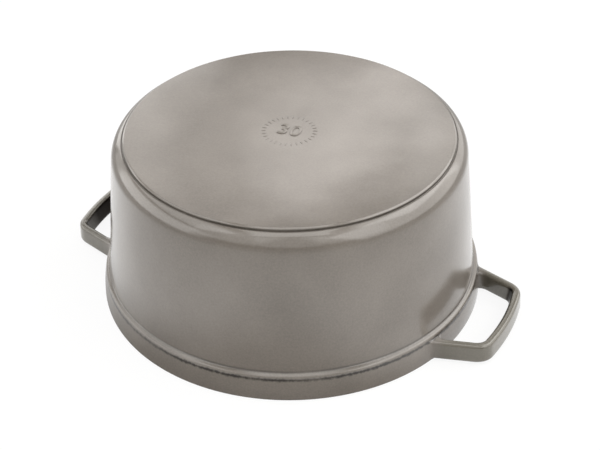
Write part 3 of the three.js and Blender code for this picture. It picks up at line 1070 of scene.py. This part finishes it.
# Mark on the base.
def stroke_ring_tree():
    """A geometry tree that sets soft raised strokes in a ring."""
    tree, given, result = new_group(
        "Stroke ring",
        "GeometryNodeTree",
        {
            "Geometry": None,
            "Strokes": 30,
            "Ring radius": 0.018,
            "Stroke size": (0.004, 0.001, 0.0004),
            "Height": 0.14,
            "Material": None,
        },
        ("Geometry",),
    )
    circle = {"Vertices": given["Strokes"], "Radius": given["Ring radius"]}
    spot = made(tree, "GeometryNodeInputPosition")
    strokes = made(tree, "GeometryNodeInstanceOnPoints", {
        "Points": made(tree, "GeometryNodeMeshCircle", circle),
        "Instance": made(tree, "GeometryNodeMeshUVSphere", {"Segments": 14, "Rings": 8, "Radius": 0.5}),
        "Rotation": made(tree, "FunctionNodeAlignRotationToVector", {"Vector": spot}, axis="X"),
        "Scale": given["Stroke size"],
    })
    lift = made(tree, "ShaderNodeCombineXYZ", {"Z": given["Height"]})
    lifted = made(tree, "GeometryNodeTransform", {"Geometry": strokes, "Translation": lift})
    real = made(tree, "GeometryNodeRealizeInstances", {0: lifted})
    coat = {"Geometry": real, "Material": given["Material"]}
    fed(tree, result, {"Geometry": made(tree, "GeometryNodeSetMaterial", coat)})
    return tree


class ROASTER_OT_mark_base(bpy.types.Operator):
    """Mark the base: the nominal diameter as a plain figure in a ring of dial strokes"""

    bl_idname = "roaster.mark_base"
    bl_label = "Mark base"
    groups = ("roaster_mark",)

    def execute(self, context):
        pot, mark = context.scene.roaster_pot, context.scene.roaster_mark
        enamel = finishes(context.scene)["warm_grey_enamel"]

        ring = piece("base_stroke_ring", ([], []))
        grown(ring, stroke_ring_tree(), {
            "Strokes": mark.strokes,
            "Ring radius": mark.ring,
            "Stroke size": (mark.stroke_length, mark.stroke_width, STROKE_HEIGHT * mark.relief),
            "Height": pot.base_height(mark.ring) - STROKE_SINK * mark.relief - pot.unevenness,
            "Material": enamel,
        })

        lettering = bpy.data.curves.new("base_figure", "FONT")
        lettering.body = mark.figure
        lettering.size = mark.figure_size
        lettering.align_x = "CENTER"
        lettering.align_y = "CENTER"
        lettering.offset = mark.figure_weight
        lettering.extrude = mark.relief / 2
        lettering.bevel_depth = mark.relief / 2
        lettering.bevel_resolution = 3
        lettering.resolution_u = 6
        pattern = shown("figure_pattern", lettering)
        mesh = settled(pattern)
        bpy.data.objects.remove(pattern)
        level = pot.base_height(0) - pot.unevenness
        mesh.transform(Matrix.Translation((0, 0, level)) @ Matrix.Rotation(mark.turn, 4, "Z"))
        mesh.materials.clear()
        mesh.materials.append(enamel)
        cleaned(mesh)
        figure = shown("base_figure", mesh)

        for marking in (ring, figure):
            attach(marking, "pot")
        return {"FINISHED"}


# Lid.
def lid_heights(pot, lid):
    """The lid's radius, and the heights of its top and underside as functions of the radius."""
    radius = pot.seat_radius - lid.clearance
    edge = pot.seat_depth - lid.below_rim

    def top(r):
        return edge + lid.dome - lid.dome * (r / radius) ** 2

    def underside(r):
        return top(r) - lid.plate

    return radius, top, underside


def lid_outline(pot, lid):
    """The lid's closed outline, from the bore out along the underside and back over the top, and the number
    of its first rows that lie underneath."""
    radius, top, underside = lid_heights(pot, lid)
    plate_radius = radius - lid.flange
    below = rounded([
        (lid.bore, underside(lid.pad), 0),
        (lid.pad, underside(lid.pad), 0),
        *curve_points(underside, lid.boss, plate_radius, LID_STEPS),
        (plate_radius, 0, lid.boss_edge),
        (radius, 0, 0),
    ])
    rim = rounded([
        (plate_radius, 0, 0),
        (radius, 0, lid.boss_edge),
        (radius, top(radius), 0),
    ])[1:-1]
    pad_top = top(lid.boss) + lid.boss_rise
    above = rounded([
        (radius, 0, 0),
        (radius, top(radius), lid.edge),
        *curve_points(top, plate_radius, lid.boss + lid.boss_rise, LID_STEPS),
        (lid.boss, pad_top, lid.boss_edge),
        (lid.bore, pad_top, 0),
    ])
    lower = spaced(below[:-1] + rim)
    return lower + spaced([rim[-1]] + above[1:])[1:], len(lower) - 1


def stud_tree(rings):
    """A geometry tree that hangs rings of rounded drip studs under the lid."""
    inputs = {
        "Geometry": None,
        "Stud radius": 0.003,
        "Tip share": 0.4,
        "Stud length": 0.004,
        "Studs per ring": 8,
        "Material": None,
    }
    for ring in range(1, rings + 1):
        inputs[f"Ring {ring} radius"] = 0.04 * ring
        inputs[f"Ring {ring} height"] = 0.0
    tree, given, result = new_group("Drip studs", "GeometryNodeTree", inputs, ("Geometry",))

    blank = made(tree, "GeometryNodeMeshCylinder", {
        "Vertices": 20,
        "Side Segments": 7,
        "Fill Segments": 2,
        "Radius": given["Stud radius"],
        "Depth": given["Stud length"],
    })
    part = placed(tree, "ShaderNodeSeparateXYZ", {0: made(tree, "GeometryNodeInputPosition")}).outputs
    along = worked_out(tree, "DIVIDE", part["Z"], given["Stud length"])
    swell = worked_out(tree, "SQRT", worked_out(tree, "ADD", along, 0.5, clamp=True))
    taper = mapped(tree, swell, start=0, end=1, low=given["Tip share"], high=1)
    narrowed = made(tree, "ShaderNodeCombineXYZ", {
        "X": worked_out(tree, "MULTIPLY", part["X"], taper),
        "Y": worked_out(tree, "MULTIPLY", part["Y"], taper),
        "Z": part["Z"],
    })
    stud = made(tree, "GeometryNodeSetPosition", {"Geometry": blank, "Position": narrowed})

    joined = placed(tree, "GeometryNodeJoinGeometry", {0: given["Geometry"]})
    for ring in range(1, rings + 1):
        count = worked_out(tree, "MULTIPLY", given["Studs per ring"], ring)
        circle = {"Vertices": count, "Radius": given[f"Ring {ring} radius"]}
        drop = made(tree, "ShaderNodeCombineXYZ", {"Z": given[f"Ring {ring} height"]})
        hung = made(tree, "GeometryNodeTransform", {
            "Geometry": made(tree, "GeometryNodeMeshCircle", circle),
            "Translation": drop,
        })
        studs = made(tree, "GeometryNodeInstanceOnPoints", {"Points": hung, "Instance": stud})
        real = made(tree, "GeometryNodeRealizeInstances", {0: studs})
        coat = {"Geometry": real, "Material": given["Material"]}
        fed(tree, joined, {0: made(tree, "GeometryNodeSetMaterial", coat)})
    fed(tree, result, {"Geometry": joined.outputs[0]})
    return tree


class ROASTER_OT_cast_lid(bpy.types.Operator):
    """Cast the lid: a domed plate with flange and knob pad, and drip studs underneath"""

    bl_idname = "roaster.cast_lid"
    bl_label = "Cast lid"
    groups = ("roaster_lid",)

    def execute(self, context):
        pot, lid = context.scene.roaster_pot, context.scene.roaster_lid
        materials = enamels(context.scene)
        outline, lower_rows = lid_outline(pot, lid)
        casting = piece("lid_casting", turned(outline, LID_SEGMENTS, closed=True), materials)
        second_finish(casting.data, lower_rows * LID_SEGMENTS)
        sizes = {
            "Stud radius": lid.stud,
            "Tip share": lid.stud_tip / lid.stud,
            "Stud length": lid.stud_length + lid.stud_root,
            "Studs per ring": lid.studs,
            "Material": materials[1],
        }
        radius, _, underside = lid_heights(pot, lid)
        for ring in range(1, lid.stud_rings + 1):
            ring_radius = (radius - lid.flange - lid.stud_margin) * ring / lid.stud_rings
            sizes[f"Ring {ring} radius"] = ring_radius
            sizes[f"Ring {ring} height"] = underside(ring_radius) - (lid.stud_length - lid.stud_root) / 2
        grown(casting, stud_tree(lid.stud_rings), sizes)
        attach(casting, "lid_set")
        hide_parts("lid")
        return {"FINISHED"}


# Knob and its fastening.
class ROASTER_OT_turn_knob(bpy.types.Operator):
    """Turn the lid's knob from nickel-plated steel"""

    bl_idname = "roaster.turn_knob"
    bl_label = "Turn knob"
    groups = ("roaster_knob",)

    def execute(self, context):
        sizes, bore = context.scene.roaster_knob, context.scene.roaster_lid.bore
        bottom, top = KNOB_LOW.z, KNOB_HIGH.z
        radius = KNOB_HIGH.x
        cap = top - sizes.cap
        step = sizes.groove_step
        outline = spaced(rounded([
            (0, bottom + sizes.thread, 0),
            (bore, bottom + sizes.thread, 0),
            (bore, bottom, BROKEN_EDGE),
            (sizes.foot, bottom, sizes.foot_edge),
            (sizes.neck, bottom + sizes.foot_rise, sizes.cap_edge),
            (sizes.neck, cap, sizes.cap_edge),
            (radius, cap + sizes.cap_slope, sizes.cap_edge),
            (radius, top - sizes.cap_slope, sizes.cap_edge),
            (sizes.groove + step, top - step, BROKEN_EDGE),
            (sizes.groove, top - 2 * step, FINE_EDGE),
            (sizes.groove - step, top - step, BROKEN_EDGE),
            (0, top, 0),
        ]), KNOB_FACET)
        nickel = finishes(context.scene)["satin_nickel"]
        knob = piece("knob", turned(outline, KNOB_SEGMENTS), [nickel])
        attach(knob, "lid_set")
        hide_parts("lid_knob")
        return {"FINISHED"}


class ROASTER_OT_fasten_knob(bpy.types.Operator):
    """Fasten the knob with a slotted screw and a washer from below the lid"""

    bl_idname = "roaster.fasten_knob"
    bl_label = "Fasten knob"
    groups = ()

    def execute(self, context):
        sizes, bore = context.scene.roaster_knob, context.scene.roaster_lid.bore
        steel = [finishes(context.scene)["plain_steel"]]
        head = SCREW_HIGH.x
        low, high = SCREW_LOW.z, SCREW_HIGH.z
        seat = low + sizes.head
        outline = rounded([
            (0, low, 0),
            (head * CROWN_SHARE, low + CROWN_DROP, CROWN_ROUND),
            (head, low + CROWN_DEPTH, HEAD_EDGE),
            (head, seat, FINE_EDGE),
            (sizes.shank, seat, FINE_EDGE),
            (sizes.shank, high, SHANK_EDGE),
            (0, high, 0),
        ])
        screw = piece("slotted_screw", turned(outline, SCREW_SEGMENTS), steel)
        half = sizes.slot / 2
        below, bottom = low - BLADE_CLEAR, low + sizes.slot_depth
        section = [(-half, below), (half, below), (half, bottom), (-half, bottom)]
        blade = lofted([[(end, y, z) for y, z in section] for end in (-BLADE_REACH, BLADE_REACH)])
        combined(screw, piece("blade", blade, steel), "DIFFERENCE")
        cleaned(screw.data)
        screw.data.set_sharp_from_angle(angle=CRISP_EDGE)

        ring = rounded([
            (bore, WASHER_LOW.z, HAIR_EDGE),
            (WASHER_HIGH.x, WASHER_LOW.z, FINE_EDGE),
            (WASHER_HIGH.x, WASHER_HIGH.z, FINE_EDGE),
            (bore, WASHER_HIGH.z, HAIR_EDGE),
        ], closed=True)
        washer = piece("washer", turned(ring, SCREW_SEGMENTS, closed=True), steel)
        for fastener, node in ((screw, "knob_screw"), (washer, "knob_washer")):
            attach(fastener, "lid_set")
            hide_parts(node)
        return {"FINISHED"}


# Studio.
def studio_floor(studio):
    """A pale floor that shows as white paper, keeps the object's shadow and is clear from below. Mirrored
    rays see it shaded round the pot and faded far off."""
    material = new_material("studio_floor")
    tree = material.node_tree
    path = placed(tree, "ShaderNodeLightPath").outputs
    seen = path["Is Camera Ray"]
    mirrored = worked_out(tree, "MAXIMUM", path["Is Glossy Ray"], path["Is Transmission Ray"])
    place = object_place(tree)
    distance = distance_of(tree, place)
    from_shade = distance_of(tree, made(tree, "ShaderNodeMapping", {
        "Vector": place,
        "Location": studio.front * studio.shade_shift - studio.right * studio.shade_side,
        "Rotation": (0, 0, studio.azimuth),
        "Scale": (studio.shade_width, 1, 1),
    }, vector_type="TEXTURE"))

    def eased(value, *ends):
        """A value mapped with soft ends."""
        return mapped(tree, value, *ends, kind="SMOOTHSTEP")

    near_pot = eased(from_shade, studio.shade_start, studio.shade_end, studio.shade_level, 1)
    far_off = eased(distance, studio.fade_start, studio.fade_end, 1, studio.fade_level)
    open_floor = worked_out(tree, "MULTIPLY", near_pot, far_off)
    level = worked_out(tree, "MAXIMUM", seen, open_floor)
    whiter = eased(distance, studio.glow_start, studio.glow_end, studio.floor_glow, 1)
    seen_part = worked_out(tree, "MULTIPLY", seen, whiter)
    mirrored_part = worked_out(tree, "MULTIPLY", mirrored, studio.floor_shine)
    part = worked_out(tree, "MAXIMUM", seen_part, mirrored_part)
    paper = made(tree, "ShaderNodeBsdfDiffuse", {"Color": (*studio.floor, 1)})
    glow = made(tree, "ShaderNodeEmission", {"Color": (1, 1, 1, 1), "Strength": level})
    lit = made(tree, "ShaderNodeMixShader", {0: part, 1: paper, 2: glow})
    clear = made(tree, "ShaderNodeBsdfTransparent")
    below = placed(tree, "ShaderNodeNewGeometry").outputs["Backfacing"]
    surfaced(tree, made(tree, "ShaderNodeMixShader", {0: below, 1: lit, 2: clear}))

    ring = [(FLOOR_RADIUS * x, FLOOR_RADIUS * y, -FLOOR_DROP) for x, y in directions(FLOOR_SEGMENTS)]
    floor = piece("studio_floor", (ring, [tuple(range(FLOOR_SEGMENTS))]), [material])


def studio_world(studio):
    """White to the camera, and an even dim light to all other rays."""
    world = bpy.data.worlds.new("studio")
    world.use_nodes = True
    tree = world.node_tree
    seen = placed(tree, "ShaderNodeLightPath").outputs["Is Camera Ray"]
    strength = worked_out(tree, "MAXIMUM", seen, studio.surround)
    fed(tree, tree.nodes["Background"], {"Color": (1, 1, 1, 1), "Strength": strength})
    return world


def soft_box(studio, name, watts, azimuth, elevation, size, tilt):
    """A flat lamp, unseen by the camera, that faces the pot and is tilted about its own axis."""
    azimuth, elevation, tilt = (math.radians(angle) for angle in (azimuth, elevation, tilt))
    level = studio.front * math.cos(azimuth) + studio.right * math.sin(azimuth)
    toward = level * math.cos(elevation) + UP * math.sin(elevation)
    target = UP * studio.lamp_aim
    place = target + toward * studio.lamp_distance
    data = bpy.data.lights.new(name, "AREA")
    data.shape = "RECTANGLE"
    data.size, data.size_y = size
    data.color = studio.base_tint if name.startswith("base") else studio.lamp_tint
    data.energy = watts * studio.lamp_power
    lamp = shown(name, data)
    facing = (target - place).to_track_quat("-Z", "Y").to_matrix().to_4x4()
    lamp.matrix_world = Matrix.Translation(place) @ facing @ Matrix.Rotation(tilt, 4, "Z")
    lamp.visible_camera = False


def studio_camera(studio):
    """The camera, at its distance from the target and with its roll."""
    data = bpy.data.cameras.new("camera")
    data.lens = studio.lens
    data.sensor_width = SENSOR_WIDTH
    camera = shown("camera", data)
    back = studio.front * math.cos(studio.elevation) + UP * math.sin(studio.elevation)
    level_up = back.cross(studio.right)
    side = studio.right * math.cos(studio.roll) + level_up * math.sin(studio.roll)
    over = back.cross(side)
    place = Vector(studio.target) + back * studio.distance
    camera.matrix_world = Matrix.Translation(place) @ Matrix((side, over, back)).transposed().to_4x4()
    return camera


class ROASTER_OT_set_studio(bpy.types.Operator):
    """Set the studio: a pale floor, soft boxes round the pot and the camera"""

    bl_idname = "roaster.set_studio"
    bl_label = "Set studio"
    groups = ("roaster_studio",)

    def execute(self, context):
        scene = context.scene
        studio = scene.roaster_studio
        studio_floor(studio)
        scene.world = studio_world(studio)
        for name, values in SOFT_BOXES.items():
            soft_box(studio, name, *values)
        scene.camera = studio_camera(studio)
        scene.view_settings.view_transform = "Standard"
        return {"FINISHED"}


class ROASTER_PT_sidebar(bpy.types.Panel):
    """Lists the roaster's operators and their settings in the 3D view's sidebar"""

    bl_idname = "ROASTER_PT_sidebar"
    bl_label = "Cast iron roaster"
    bl_space_type = "VIEW_3D"
    bl_region_type = "UI"
    bl_category = "Roaster"

    def draw(self, context):
        for operator in OPERATORS:
            box = self.layout.box()
            box.operator(operator.bl_idname)
            for group in operator.groups:
                settings = getattr(context.scene, group)
                for name in settings.bl_rna.properties.keys():
                    if name not in ("rna_type", "name"):
                        box.prop(settings, name)


GROUPS = {
    "roaster_pot": RoasterPot,
    "roaster_handle": RoasterHandle,
    "roaster_lid": RoasterLid,
    "roaster_knob": RoasterKnob,
    "roaster_mark": RoasterMark,
    "roaster_finish": RoasterFinish,
    "roaster_studio": RoasterStudio,
}
OPERATORS = (
    ROASTER_OT_cast_pot,
    ROASTER_OT_mark_base,
    ROASTER_OT_cast_lid,
    ROASTER_OT_turn_knob,
    ROASTER_OT_fasten_knob,
    ROASTER_OT_set_studio,
)
CLASSES = (*GROUPS.values(), *OPERATORS, ROASTER_PT_sidebar)


def register():
    for item in CLASSES:
        bpy.utils.register_class(item)
    for name, group in GROUPS.items():
        setattr(bpy.types.Scene, name, bpy.props.PointerProperty(type=group))


def unregister():
    for name in GROUPS:
        delattr(bpy.types.Scene, name)
    for item in reversed(CLASSES):
        bpy.utils.unregister_class(item)


def main():
    register()
    bpy.ops.roaster.cast_pot()
    bpy.ops.roaster.mark_base()
    bpy.ops.roaster.cast_lid()
    bpy.ops.roaster.turn_knob()
    bpy.ops.roaster.fasten_knob()
    bpy.ops.roaster.set_studio()


if __name__ == "__main__":
    main()
